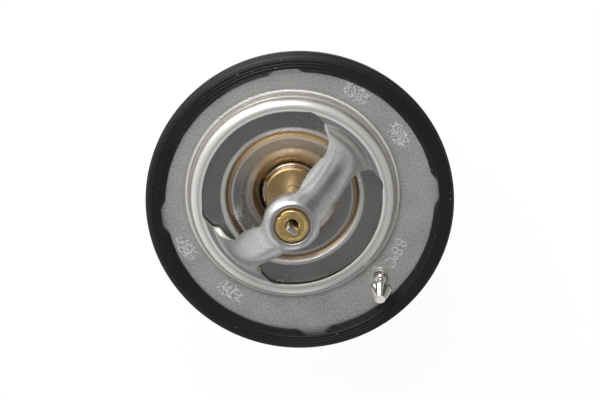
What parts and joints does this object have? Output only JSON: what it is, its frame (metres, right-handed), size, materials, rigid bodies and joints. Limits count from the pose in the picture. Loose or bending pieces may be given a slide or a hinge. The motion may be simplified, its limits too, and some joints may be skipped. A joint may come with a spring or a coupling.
{
  "type": "engine coolant thermostat",
  "caption": "Round wax-pellet coolant valve: flanged bridge housing with rubber rim ring, spring-loaded disc valve, brass element, bypass disc and vent pin.",
  "frame": {"origin": "centre of the round rim, on the flange plate's outlet-side face", "axes": "+Z along the valve's travel axis towards the outlet bridge, +X and +Y in the flange plane; the vent pin lies at +X, -Y"},
  "size_m": [0.06, 0.06, 0.0633],
  "materials": {
    "flange": "dull plated sheet, fine grain",
    "bridge": "drawn stainless sheet, satin",
    "gasket": "matt moulded rubber",
    "frame": "drawn stainless sheet, satin",
    "bush": "turned, staked rim",
    "piston": "hardened and ground",
    "spring": "drawn spring wire",
    "valve": "dull stamped sheet",
    "seal": "matt moulded rubber",
    "guide": "turned, polished end",
    "ring": "spring wire",
    "cup": "drawn cup, satin",
    "sleeve": "moulded boot, sealed inside",
    "backup": "machined ring, sealed inside",
    "wax": "metal-filled wax, sealed inside",
    "stem": "turned",
    "clip": "stamped clip",
    "small_spring": "drawn spring wire",
    "bypass": "stamped sheet",
    "vent_pin": "turned and nickel plated"
  },
  "bodies": {
    "housing": {"flange_plate": "flange", "bridge": "bridge", "flange_gasket": "gasket", "lower_frame": "frame", "piston_bush": "bush", "piston": "piston", "main_spring": "spring"},
    "valve": {"valve_disc": "valve", "valve_seal": "seal", "element_guide": "guide", "retaining_ring": "ring", "element_cup": "cup", "rubber_sleeve": "sleeve", "backup_ring": "backup", "wax_charge": "wax", "bypass_stem": "stem", "bypass_clip": "clip", "bypass_spring": "small_spring"},
    "bypass": {"bypass_disc": "bypass"},
    "vent_pin": {"jiggle_pin": "vent_pin"}
  },
  "joints": [
    {"name": "valve_lift", "type": "slide", "parent": "housing", "child": "valve", "axis": [0, 0, -1], "range_m": [0, 0.008], "stiffness_N_per_m": 2500, "springref_m": -0.02, "deforming": ["main_spring"]},
    {"name": "bypass_travel", "type": "slide", "parent": "valve", "child": "bypass", "axis": [0, 0, 1], "range_m": [0, 0.003], "stiffness_N_per_m": 400, "springref_m": -0.01, "deforming": ["bypass_spring"]},
    {"name": "vent_pin_play", "type": "slide", "parent": "housing", "child": "vent_pin", "axis": [-0.0661, -0.4174, 0.9063], "range_m": [0, 0.001]}
  ]
}
